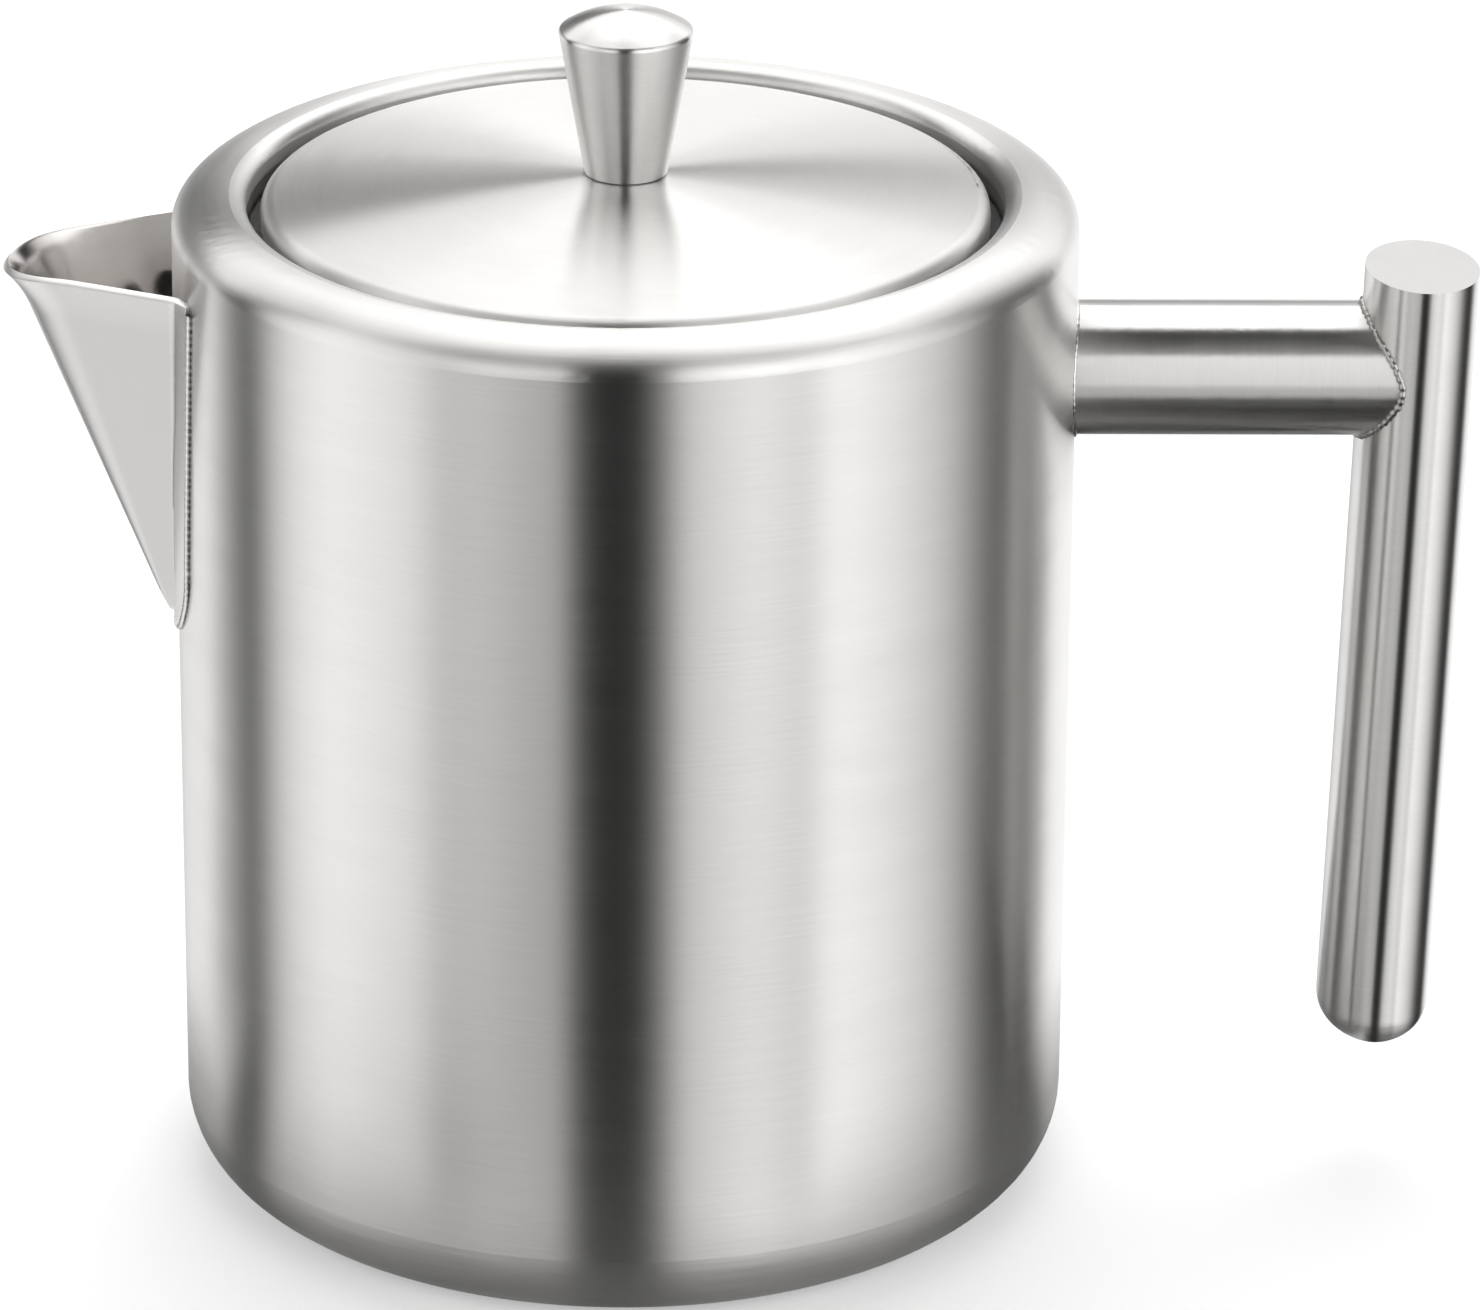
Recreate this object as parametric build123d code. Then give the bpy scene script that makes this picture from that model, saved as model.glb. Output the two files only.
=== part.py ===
from build123d import *
import math
import os

# A double-walled steel french press: turned pot, folded spout, T-shaped tube handle, lid and plunger.
# Origin: on the pot's axis in the plane it stands on. +Z is up, +X points to the handle, -X to the spout.
# All sizes are in millimetres.

# ------------------------------------------------------------------ driving dimensions
SHEET = 0.8                 # steel sheet of the pot and the lid
BODY_R = 55.0               # outside of the pot
FOOT_CORNER_R = 10.0        # rounding between wall and foot
SHOULDER_Z = 123.5          # where the straight wall ends
CREST_R = 48.0              # highest circle of the rim
CREST_Z = 127.5
MOUTH_R = 46.0              # inside of the rim's turned-down edge
ROLL_Z = 126.1              # where the rim's inner roll turns straight down
RIM_SEAM_Z = 124.6          # seam between the outer shell and the inner vessel
BASE_DISC_R = 43.0

BORE_R = 43.8               # inside of the inner vessel
VESSEL_FLOOR_Z = 6.0        # underside of the inner vessel
VESSEL_CORNER_R = 8.0
LEDGE_Z = 121.0             # ledge that the lid seal sits on
LEDGE_EDGE_R = 0.6

SPOUT_APEX_Z = 70.0         # where the spout's fold meets the wall
SPOUT_TOP_Z = 118.7
SPOUT_FLARE_Z = 114.5       # where the drip lip starts to flare
SPOUT_HALF_ANGLE = 24.4     # of the two side panels, seen from above
SPOUT_SLOPE = 0.3956        # forward lean of the fold, mm per mm of height
SPOUT_NOSE_RATE = 0.205     # growth of the nose radius, mm per mm of height
SPOUT_LIP_FLARE = 1.3       # how far the drip lip stands out
SPOUT_SHEET = 0.9
SPOUT_BACK_X = -44.0        # the panels' construction runs inside the wall to here
FLANGE_T = 0.45
FLANGE_TOP_HALF = 17.9
FLANGE_LOW_HALF = 14.6
FLANGE_LOW_Z = 84.0
FLANGE_BOTTOM_Z = 70.6
SPOUT_BEAD = 0.8            # width of the weld along the flange

HOLE_R = 2.1                # strainer holes behind the spout
HOLE_PITCH_Y = 6.0
HOLE_PITCH_Z = 5.8
HOLE_TOP_Z = 111.0
HOLE_ROWS = 4
PORT_HALF_Y = 13.0
PORT_HALF_Z = 12.8
PORT_Z = 102.5

ARM_Z = 104.6               # height of the handle arm's axis
ARM_HALF_Y = 8.9
ARM_HALF_Z = 8.2
TUBE_WALL = 1.2
GRIP_X = 96.6               # grip axis where the arm meets it
GRIP_LEAN = 1.57            # degrees; the grip's foot is nearer to the pot
GRIP_HALF_X = 6.97
GRIP_HALF_Y = 9.45
GRIP_ABOVE = 13.1           # grip length above and below the arm's axis
GRIP_BELOW = 88.5
GRIP_END_R = 4.2
GRIP_CAP_T = 1.5
GRIP_PLUG_L = 5.0
BACKING_T = 1.2
BACKING_HALF_Y = 14.0
BACKING_HALF_Z = 13.0
BEAD = 0.5                  # size of the handle's weld beads

LID_R = 44.2
LID_TOP_Z = 129.7           # middle of the domed lid
LID_RIM_DROP = 3.0          # how much lower the dome is at the lid's edge
LID_EDGE_R = 1.8
LID_SEAM_Z = 123.5          # seam between the lid's top and its base
LID_FLOOR_Z = 116.5
LID_SKIRT_R = 43.3
ROD_HOLE_R = 2.8
SEAL_GAP = 0.15

ROD_R = 2.5
ROD_CLEARANCE = 0.06
ROD_FOOT_Z = 29.3
ROD_HEAD_Z = 141.0
GUIDE_R = 4.0
GUIDE_FLANGE_R = 8.0
GUIDE_FLANGE_T = 1.5
GUIDE_FOOT_Z = 112.9
GUIDE_NUT_AF = 11.0
GUIDE_NUT_H = 2.9

KNOB_BASE_R = 5.04
KNOB_TOP_R = 8.2
KNOB_BASE_Z = 129.85
KNOB_EDGE_Z = 147.8
KNOB_TOP_Z = 150.3
KNOB_EDGE_ROUND = 0.6

CROSS_PLATE_Z = 22.0        # underside of the cross plate with the plunger down
CROSS_PLATE_R = 43.0
CROSS_RING_W = 4.0
CROSS_SPOKES = 6
CROSS_SPOKE_W = 6.0
CROSS_HUB_R = 10.0
MESH_R = 43.3
MESH_T = 0.3
SPRING_R = 42.0             # middle of the coil spring's ring
SPRING_COIL_R = 1.3
COVER_R = 40.6
COVER_FLAT_R = 33.0
COVER_RISE = 3.9
COVER_CROWN_R = 9.0
COVER_HOLE_R = 2.2
COVER_HOLE_RINGS = ((14.5, 10), (21.5, 16), (28.5, 22))    # ring radius, number of holes
STUD_R = 3.0
HUB_FLANGE_R = 7.0
HUB_FLANGE_T = 1.5
HUB_COLLAR_R = 5.0
HUB_TOP_Z = 35.0
NUT_R = 6.5
NUT_H = 2.2
NUT_FLUTES = 12

# ------------------------------------------------------------------ derived dimensions
SHELL_INNER_R = BODY_R - SHEET
MESH_Z = CROSS_PLATE_Z + SHEET
COVER_Z = MESH_Z + MESH_T
HUB_Z = COVER_Z + COVER_RISE + SHEET
LONG = 200.0                # longer than anything it cuts


# ------------------------------------------------------------------ helpers
def turned(*edges):
    """A ring or disc turned about the Z axis from a closed outline in radius and height."""
    face = make_face(Curve() + list(edges))
    return revolve(Plane.XZ * face, Axis.Z)


def path(*points):
    """Straight lines through the points."""
    return [Line(a, b) for a, b in zip(points, points[1:])]


def cylinder(radius, low_z, high_z):
    """A disc about the Z axis between two heights."""
    height = high_z - low_z
    return Pos(0, 0, low_z + height / 2) * Cylinder(radius, height)


def wall_ring(inner_r, outer_r):
    """A tall tube about the Z axis, used to cut pieces that lie against the wall."""
    return cylinder(outer_r, 0, LONG) - cylinder(inner_r, 0, LONG)


def prism_x(outline, start_x, length):
    """A flat outline in Y and Z, pushed along +X."""
    return extrude(Plane((start_x, 0, 0), x_dir=(0, 1, 0), z_dir=(1, 0, 0)) * outline, length)


# ------------------------------------------------------------------ pot
def strainer_holes():
    """Rods that pierce both walls behind the spout: rows of 4, 3, 2 and 1."""
    rods = []
    for row in range(HOLE_ROWS):
        count = HOLE_ROWS - row
        z = HOLE_TOP_Z - row * HOLE_PITCH_Z
        for column in range(count):
            y = (column - (count - 1) / 2) * HOLE_PITCH_Y
            rods.append(Pos(-BODY_R + 7, y, z) * Rot(0, 90, 0) * Cylinder(HOLE_R, 20))
    return rods


def outer_shell():
    """Foot, straight wall, rounded shoulder and rolled-in mouth of the pot."""
    foot_r = BODY_R - FOOT_CORNER_R
    roll = CREST_R - MOUTH_R
    outside = [
        Line((BASE_DISC_R, 0), (foot_r, 0)),
        CenterArc((foot_r, FOOT_CORNER_R), FOOT_CORNER_R, 270, 90),
        Line((BODY_R, FOOT_CORNER_R), (BODY_R, SHOULDER_Z)),
        EllipticalCenterArc((CREST_R, SHOULDER_Z), BODY_R - CREST_R, CREST_Z - SHOULDER_Z, 0, arc_size=90),
        EllipticalCenterArc((CREST_R, ROLL_Z), roll, CREST_Z - ROLL_Z, 90, arc_size=90),
    ]
    edge = path((MOUTH_R, ROLL_Z), (MOUTH_R, RIM_SEAM_Z), (MOUTH_R + SHEET, RIM_SEAM_Z),
                (MOUTH_R + SHEET, ROLL_Z))
    inside = [
        EllipticalCenterArc((CREST_R, ROLL_Z), roll - SHEET, CREST_Z - ROLL_Z - SHEET, 90, arc_size=90),
        EllipticalCenterArc((CREST_R, SHOULDER_Z), SHELL_INNER_R - CREST_R, CREST_Z - SHOULDER_Z - SHEET,
                            0, arc_size=90),
        Line((SHELL_INNER_R, SHOULDER_Z), (SHELL_INNER_R, FOOT_CORNER_R)),
        CenterArc((foot_r, FOOT_CORNER_R), FOOT_CORNER_R - SHEET, 270, 90),
        *path((foot_r, SHEET), (BASE_DISC_R, SHEET), (BASE_DISC_R, 0)),
    ]
    return turned(*outside, *edge, *inside) - strainer_holes()


def inner_vessel():
    """Straight-bored vessel with a ledge for the lid seal below its neck."""
    outer_r = BORE_R + SHEET
    corner_x = BORE_R - VESSEL_CORNER_R
    corner_z = VESSEL_FLOOR_Z + SHEET + VESSEL_CORNER_R
    inside = [
        Line((0, VESSEL_FLOOR_Z + SHEET), (corner_x, VESSEL_FLOOR_Z + SHEET)),
        CenterArc((corner_x, corner_z), VESSEL_CORNER_R, 270, 90),
        Line((BORE_R, corner_z), (BORE_R, LEDGE_Z - LEDGE_EDGE_R)),
        CenterArc((BORE_R + LEDGE_EDGE_R, LEDGE_Z - LEDGE_EDGE_R), LEDGE_EDGE_R, 90, 90),
        *path((BORE_R + LEDGE_EDGE_R, LEDGE_Z), (MOUTH_R, LEDGE_Z), (MOUTH_R, RIM_SEAM_Z)),
    ]
    outside = [
        *path((MOUTH_R, RIM_SEAM_Z), (MOUTH_R + SHEET, RIM_SEAM_Z), (MOUTH_R + SHEET, LEDGE_Z - SHEET),
              (outer_r, LEDGE_Z - SHEET), (outer_r, corner_z)),
        CenterArc((corner_x, corner_z), VESSEL_CORNER_R + SHEET, 270, 90),
        *path((corner_x, VESSEL_FLOOR_Z), (0, VESSEL_FLOOR_Z), (0, VESSEL_FLOOR_Z + SHEET)),
    ]
    return turned(*inside, *outside) - strainer_holes()


def base_disc():
    """Flat disc that closes the space between the walls and stands on the table."""
    return cylinder(BASE_DISC_R, 0, SHEET)


def rim_weld():
    """Bead in the space between the walls, along the seam at the mouth."""
    bead_r = 0.5
    seam = (MOUTH_R + SHEET, RIM_SEAM_Z)
    return turned(
        Line((seam[0], seam[1] + bead_r), (seam[0], seam[1] - bead_r)),
        CenterArc(seam, bead_r, 270, 180),
    )


def spout_port():
    """Short duct that joins both walls around the strainer holes."""
    outer = RectangleRounded(2 * PORT_HALF_Y, 2 * PORT_HALF_Z, 4)
    inner = RectangleRounded(2 * (PORT_HALF_Y - SHEET), 2 * (PORT_HALF_Z - SHEET), 4 - SHEET)
    duct = prism_x(Pos(0, PORT_Z) * (outer - inner), -BODY_R, 20)
    return duct & wall_ring(BORE_R + SHEET, SHELL_INNER_R)


def spout_section(z, inset, flare=0.0):
    """Level section of the spout: two straight panels and a round nose, open towards the pot."""
    height = z - SPOUT_APEX_Z
    angle = math.radians(SPOUT_HALF_ANGLE)
    nose_r = SPOUT_NOSE_RATE * height
    centre_x = -BODY_R - SPOUT_SLOPE * height - flare + nose_r
    radius = nose_r - inset
    touch = (centre_x - radius * math.sin(angle), radius * math.cos(angle))
    back_y = radius / math.cos(angle) + (SPOUT_BACK_X - centre_x) * math.tan(angle)
    outline = Curve() + [
        Line((SPOUT_BACK_X, back_y), touch),
        ThreePointArc(touch, (centre_x - radius, 0), (touch[0], -touch[1])),
        Line((touch[0], -touch[1]), (SPOUT_BACK_X, -back_y)),
        Line((SPOUT_BACK_X, -back_y), (SPOUT_BACK_X, back_y)),
    ]
    return Pos(0, 0, z) * make_face(outline)


def spout_block(inset, start_z):
    """The solid inside the spout's panels, or inside the sheet's inner face."""
    return loft([
        spout_section(start_z, inset),
        spout_section(SPOUT_FLARE_Z, inset),
        spout_section(SPOUT_TOP_Z, inset, SPOUT_LIP_FLARE),
    ], ruled=True)


def flange_prism(grow=0.0):
    """Shield-shaped outline of the spout's flange, pushed through the wall."""
    top = (FLANGE_TOP_HALF + grow, SPOUT_TOP_Z - 0.5)
    low = (FLANGE_LOW_HALF + grow, FLANGE_LOW_Z)
    outline = make_face(Curve() + [
        Line((-top[0], top[1]), top),
        Line(top, low),
        ThreePointArc(low, (0, FLANGE_BOTTOM_Z - grow), (-low[0], low[1])),
        Line((-low[0], low[1]), (-top[0], top[1])),
    ])
    return prism_x(outline, -BODY_R - 5, 20)


def spout():
    """Folded sheet spout with its flange, which lies on the pot's wall."""
    sheet_across = 1.05 * SPOUT_SHEET
    block = spout_block(0.0, SPOUT_APEX_Z + 1)
    trough = block - spout_block(sheet_across, SPOUT_APEX_Z + 7) - cylinder(BODY_R, 0, LONG)
    flange = (flange_prism() & wall_ring(BODY_R, BODY_R + FLANGE_T)) - block
    return trough + flange


def spout_weld():
    """Bead along the flange's outer edge."""
    bead = (flange_prism(SPOUT_BEAD) - flange_prism()) & wall_ring(BODY_R, BODY_R + FLANGE_T)
    return bead - spout_block(0.0, SPOUT_APEX_Z + 1)


# ------------------------------------------------------------------ handle
def grip_place():
    """Frame of the grip: its origin is where the arm's axis meets it, its Z runs up the grip."""
    return Location((GRIP_X, 0, ARM_Z), (0, GRIP_LEAN, 0))


def grip_outside(grow=0.0):
    """Full oval bar of the grip, flat on top and rounded below."""
    bar = extrude(Ellipse(GRIP_HALF_X + grow, GRIP_HALF_Y + grow), GRIP_ABOVE + GRIP_BELOW)
    bar = fillet(bar.edges().group_by(Axis.Z)[0], GRIP_END_R)
    return grip_place() * Pos(0, 0, -GRIP_BELOW) * bar


def grip_bore(low, high):
    """Oval bar that fits inside the grip tube, between two heights along the grip."""
    bar = extrude(Ellipse(GRIP_HALF_X - TUBE_WALL, GRIP_HALF_Y - TUBE_WALL), high - low)
    return grip_place() * Pos(0, 0, low) * bar


def grip_slice(low, high):
    """Everything between two heights along the grip."""
    return grip_place() * Pos(0, 0, (low + high) / 2) * Box(60, 60, high - low)


def grip_tube():
    """Oval tube, open at both ends, between its cap and its plug."""
    bore = grip_bore(-GRIP_BELOW - 1, GRIP_ABOVE + 1)
    return (grip_outside() & grip_slice(GRIP_PLUG_L - GRIP_BELOW, GRIP_ABOVE - GRIP_CAP_T)) - bore


def grip_top_cap():
    """Flat oval cap that closes the top of the tube, as wide as the grip."""
    return grip_outside() & grip_slice(GRIP_ABOVE - GRIP_CAP_T, GRIP_ABOVE + 1)


def grip_bottom_cap():
    """Rounded solid plug at the foot of the grip."""
    return grip_outside() & grip_slice(-GRIP_BELOW - 1, GRIP_PLUG_L - GRIP_BELOW)


def arm_bar(grow=0.0):
    """Full oval bar of the handle arm, from inside the pot to beyond the grip's axis."""
    outline = Pos(0, ARM_Z) * Ellipse(ARM_HALF_Y + grow, ARM_HALF_Z + grow)
    return prism_x(outline, BODY_R - 8, GRIP_X - BODY_R + 8)


def handle_arm():
    """Oval tube, cut at its ends to the pot's wall and to the grip."""
    tube = arm_bar() - arm_bar(-TUBE_WALL)
    return tube - cylinder(BODY_R, 0, LONG) - grip_outside()


def arm_body_weld():
    """Narrow bead around the arm on the pot's wall."""
    return (arm_bar(BEAD) - arm_bar()) & wall_ring(BODY_R, BODY_R + BEAD)


def arm_grip_weld():
    """Bead around the arm on the grip."""
    return (arm_bar(BEAD) - arm_bar()) & (grip_outside(BEAD) - grip_outside())


def handle_backing():
    """Pad behind the pot's wall that carries the arm."""
    pad = prism_x(Pos(0, ARM_Z) * RectangleRounded(2 * BACKING_HALF_Y, 2 * BACKING_HALF_Z, 5), 40, 20)
    return pad & wall_ring(SHELL_INNER_R - BACKING_T, SHELL_INNER_R)


# ------------------------------------------------------------------ lid
def dome_z(radius, drop=0.0):
    """Height of the lid's domed top at a radius, or of its inner face."""
    sphere_r = (LID_R ** 2 + LID_RIM_DROP ** 2) / (2 * LID_RIM_DROP)
    return LID_TOP_Z - sphere_r + math.sqrt(sphere_r ** 2 - radius ** 2) - drop


def dome_arc(inner_r, outer_r, drop=0.0):
    """Arc of the dome between two radii."""
    radii = (inner_r, (inner_r + outer_r) / 2, outer_r)
    return ThreePointArc(*[(r, dome_z(r, drop)) for r in radii])


def lid_top():
    """Domed lid cover with a rounded edge and a short skirt."""
    inner_r = LID_R - SHEET
    outline = make_face(Curve() + [
        dome_arc(ROD_HOLE_R, LID_R),
        *path((LID_R, dome_z(LID_R)), (LID_R, LID_SEAM_Z), (inner_r, LID_SEAM_Z),
              (inner_r, dome_z(inner_r, SHEET))),
        dome_arc(ROD_HOLE_R, inner_r, SHEET),
        Line((ROD_HOLE_R, dome_z(ROD_HOLE_R, SHEET)), (ROD_HOLE_R, dome_z(ROD_HOLE_R))),
    ])
    outer_corner = outline.vertices().sort_by_distance((LID_R, dome_z(LID_R)))[0]
    outline = fillet(outer_corner, LID_EDGE_R)
    inner_corner = outline.vertices().sort_by_distance((inner_r, dome_z(inner_r, SHEET)))[0]
    outline = fillet(inner_corner, LID_EDGE_R - SHEET)
    return revolve(Plane.XZ * outline, Axis.Z)


def lid_base():
    """Pan that closes the lid from below and centres it in the bore."""
    inner_r = LID_SKIRT_R - SHEET
    corner = 2.0
    return turned(
        *path((GUIDE_R, LID_FLOOR_Z), (LID_SKIRT_R - corner, LID_FLOOR_Z)),
        CenterArc((LID_SKIRT_R - corner, LID_FLOOR_Z + corner), corner, 270, 90),
        *path((LID_SKIRT_R, LID_FLOOR_Z + corner), (LID_SKIRT_R, LID_SEAM_Z - SHEET),
              (LID_R, LID_SEAM_Z - SHEET), (LID_R, LID_SEAM_Z), (inner_r, LID_SEAM_Z),
              (inner_r, LID_FLOOR_Z + corner)),
        CenterArc((LID_SKIRT_R - corner, LID_FLOOR_Z + corner), corner - SHEET, 270, 90),
        *path((LID_SKIRT_R - corner, LID_FLOOR_Z + SHEET), (GUIDE_R, LID_FLOOR_Z + SHEET),
              (GUIDE_R, LID_FLOOR_Z)),
    )


def lid_seal():
    """Silicone ring on the ledge, around the lid's skirt."""
    low_z = LEDGE_Z + SEAL_GAP
    high_z = LID_SEAM_Z - SHEET - SEAL_GAP
    return cylinder(MOUTH_R - 0.3, low_z, high_z) - cylinder(LID_SKIRT_R + 0.2, low_z, high_z)


def rod_guide():
    """Bush that the plunger rod slides in, with a flange on the lid's floor."""
    floor_z = LID_FLOOR_Z + SHEET
    bush = cylinder(GUIDE_R, GUIDE_FOOT_Z, dome_z(GUIDE_R, SHEET))
    flange = cylinder(GUIDE_FLANGE_R, floor_z, floor_z + GUIDE_FLANGE_T)
    return bush + flange - cylinder(ROD_R + ROD_CLEARANCE, 0, LONG)


def guide_nut():
    """Hexagon nut that holds the bush from below."""
    hexagon = RegularPolygon(GUIDE_NUT_AF / 2, 6, major_radius=False)
    nut = Pos(0, 0, LID_FLOOR_Z - GUIDE_NUT_H) * extrude(hexagon, GUIDE_NUT_H)
    return nut - cylinder(GUIDE_R, 0, LONG)


# ------------------------------------------------------------------ plunger
def plunger_rod():
    """Straight rod from the filter's hub into the knob."""
    return cylinder(ROD_R, ROD_FOOT_Z, ROD_HEAD_Z)


def knob_dome():
    """Arc of the knob's low dome, from its middle to its edge."""
    rise = KNOB_TOP_Z - KNOB_EDGE_Z
    sphere_r = (KNOB_TOP_R ** 2 + rise ** 2) / (2 * rise)
    half_r = KNOB_TOP_R / 2
    half_z = KNOB_TOP_Z - sphere_r + math.sqrt(sphere_r ** 2 - half_r ** 2)
    return ThreePointArc((0, KNOB_TOP_Z), (half_r, half_z), (KNOB_TOP_R, KNOB_EDGE_Z))


def knob():
    """Tapered knob, narrow at its foot, with a low domed top."""
    outline = make_face(Curve() + [
        *path((0, KNOB_TOP_Z), (0, ROD_HEAD_Z), (ROD_R, ROD_HEAD_Z), (ROD_R, KNOB_BASE_Z),
              (KNOB_BASE_R, KNOB_BASE_Z), (KNOB_TOP_R, KNOB_EDGE_Z)),
        knob_dome(),
    ])
    edge = outline.vertices().sort_by_distance((KNOB_TOP_R, KNOB_EDGE_Z))[0]
    return revolve(Plane.XZ * fillet(edge, KNOB_EDGE_ROUND), Axis.Z)


def filter_hub():
    """Collar that screws onto the rod's end, with a stud that carries the filter discs."""
    stud = cylinder(STUD_R, CROSS_PLATE_Z - NUT_H, HUB_Z)
    flange = cylinder(HUB_FLANGE_R, HUB_Z, HUB_Z + HUB_FLANGE_T)
    collar = cylinder(HUB_COLLAR_R, HUB_Z, HUB_TOP_Z)
    return stud + flange + collar - cylinder(ROD_R, ROD_FOOT_Z, LONG)


def filter_cover():
    """Domed plate with rings of holes, above the mesh."""
    low, high = COVER_Z, COVER_Z + COVER_RISE
    under = [(COVER_R, low), (COVER_FLAT_R, low), (COVER_CROWN_R, high), (STUD_R, high)]
    over = [(r, z + SHEET) for r, z in reversed(under)]
    plate = turned(*path(*under, *over, under[0]))
    holes = [Rot(0, 0, 360 * i / count) * Pos(radius, 0, high) * Cylinder(COVER_HOLE_R, 20)
             for radius, count in COVER_HOLE_RINGS for i in range(count)]
    return plate - holes


def filter_spring():
    """Coil spring bent into a ring around the cover, as its outer envelope."""
    return Pos(0, 0, COVER_Z + SPRING_COIL_R) * Torus(SPRING_R, SPRING_COIL_R)


def filter_mesh():
    """Fine mesh disc."""
    return cylinder(MESH_R, MESH_Z, MESH_Z + MESH_T) - cylinder(STUD_R, 0, LONG)


def cross_plate():
    """Spoked plate that backs the mesh from below."""
    ring = cylinder(CROSS_PLATE_R, CROSS_PLATE_Z, MESH_Z)
    ring -= cylinder(CROSS_PLATE_R - CROSS_RING_W, CROSS_PLATE_Z, MESH_Z)
    plate = ring + cylinder(CROSS_HUB_R, CROSS_PLATE_Z, MESH_Z)
    reach = CROSS_PLATE_R - CROSS_RING_W / 2
    spoke = Pos(reach / 2, 0, CROSS_PLATE_Z + SHEET / 2) * Box(reach, CROSS_SPOKE_W, SHEET)
    for i in range(CROSS_SPOKES):
        plate += Rot(0, 0, 360 * i / CROSS_SPOKES) * spoke
    return plate - cylinder(STUD_R, 0, LONG)


def filter_nut():
    """Fluted nut that clamps the filter discs on the stud."""
    low_z = CROSS_PLATE_Z - NUT_H
    nut = cylinder(NUT_R, low_z, CROSS_PLATE_Z) - cylinder(STUD_R, 0, LONG)
    flutes = [Rot(0, 0, 360 * i / NUT_FLUTES) * Pos(NUT_R + 0.5, 0, low_z) * Cylinder(1.0, LONG)
              for i in range(NUT_FLUTES)]
    return nut - flutes


# ------------------------------------------------------------------ writing the pieces
PIECES = [
    outer_shell, inner_vessel, base_disc, rim_weld, spout_port, spout, spout_weld,
    handle_backing, handle_arm, arm_body_weld, arm_grip_weld, grip_tube, grip_top_cap, grip_bottom_cap,
    lid_seal, lid_top, lid_base, rod_guide, guide_nut,
    plunger_rod, knob, filter_hub, filter_cover, filter_spring, filter_mesh, cross_plate, filter_nut,
]

os.makedirs("parts", exist_ok=True)
for piece in PIECES:
    export_step(piece(), f"parts/{piece.__name__}.step")
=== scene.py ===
import math
import random

import bmesh
import bpy
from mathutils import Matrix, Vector


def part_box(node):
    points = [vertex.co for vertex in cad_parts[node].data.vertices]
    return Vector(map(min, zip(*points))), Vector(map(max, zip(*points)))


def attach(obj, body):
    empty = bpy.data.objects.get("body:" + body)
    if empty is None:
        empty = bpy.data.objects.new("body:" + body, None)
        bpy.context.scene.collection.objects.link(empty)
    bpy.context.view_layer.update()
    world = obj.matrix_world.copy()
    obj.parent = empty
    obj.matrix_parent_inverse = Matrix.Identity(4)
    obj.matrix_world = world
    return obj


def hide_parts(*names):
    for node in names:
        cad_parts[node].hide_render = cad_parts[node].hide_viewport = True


# The looks of a double-walled steel french press, built around its CAD frame. Metres, row frame:
# origin on the pot's axis in the plane it stands on, +Z up, +X to the handle, -X to the spout.

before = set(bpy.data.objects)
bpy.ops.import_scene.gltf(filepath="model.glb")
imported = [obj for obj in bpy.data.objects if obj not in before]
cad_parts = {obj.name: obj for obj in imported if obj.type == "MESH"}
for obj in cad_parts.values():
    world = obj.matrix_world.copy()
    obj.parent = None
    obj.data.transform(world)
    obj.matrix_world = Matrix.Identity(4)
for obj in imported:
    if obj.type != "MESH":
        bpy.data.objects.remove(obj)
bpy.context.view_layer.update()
MM = 0.001

# ------------------------------------------------------------------ sizes shared with the CAD
BODY_R = 55.0 * MM
ARM_Z = 104.6 * MM              # height of the handle arm's axis
ARM_HALF_Y = 8.9 * MM
ARM_HALF_Z = 8.2 * MM
GRIP_X = 96.6 * MM              # grip axis where the arm meets it
GRIP_LEAN = math.radians(1.57)
GRIP_HALF_X = 6.97 * MM
GRIP_HALF_Y = 9.45 * MM
SPOUT_APEX_Z = 70.0 * MM        # where the spout's fold meets the wall
SPOUT_TOP_Z = 118.7 * MM
SPOUT_HALF_ANGLE = math.radians(24.4)
SPOUT_SLOPE = 0.3956            # forward lean of the fold
SPOUT_NOSE_RATE = 0.205         # growth of the nose radius with height
SPOUT_SHEET = 0.9 * MM
FLANGE_T = 0.45 * MM
FLANGE_TOP_HALF = 17.9 * MM
FLANGE_LOW_HALF = 14.6 * MM
FLANGE_LOW_Z = 84.0 * MM        # the flange's rounded foot starts below this

# ------------------------------------------------------------------ camera
CAMERA_TARGET = Vector((0.0, 0.0, 0.070))
CAMERA_DISTANCE = 1.0397
CAMERA_ELEVATION = math.radians(22.83)
CAMERA_TURN = (math.radians(66.979), math.radians(-0.420), math.radians(-0.682))
CAMERA_LENS = 204.15
CAMERA_SENSOR = 36.0


def make_camera():
    """Long lens on the -Y side, a little above the pot."""
    data = bpy.data.cameras.new("camera")
    data.lens = CAMERA_LENS
    data.sensor_width = CAMERA_SENSOR
    camera = bpy.data.objects.new("camera", data)
    back = Vector((0, -math.cos(CAMERA_ELEVATION), math.sin(CAMERA_ELEVATION)))
    camera.location = CAMERA_TARGET + CAMERA_DISTANCE * back
    camera.rotation_euler = CAMERA_TURN
    bpy.context.scene.collection.objects.link(camera)
    bpy.context.scene.camera = camera


# ------------------------------------------------------------------ node helpers
def new_material(name):
    """A node material, as (material, tree, principled shader)."""
    material = bpy.data.materials.new(name)
    material.use_nodes = True
    tree = material.node_tree
    return material, tree, tree.nodes["Principled BSDF"]


def math_node(tree, operation, first, second=None):
    """A Math node; each input is a socket or a number."""
    node = tree.nodes.new("ShaderNodeMath")
    node.operation = operation
    for index, value in enumerate((first, second)):
        if value is None:
            continue
        if isinstance(value, (int, float)):
            node.inputs[index].default_value = value
        else:
            tree.links.new(value, node.inputs[index])
    return node.outputs[0]


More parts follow.
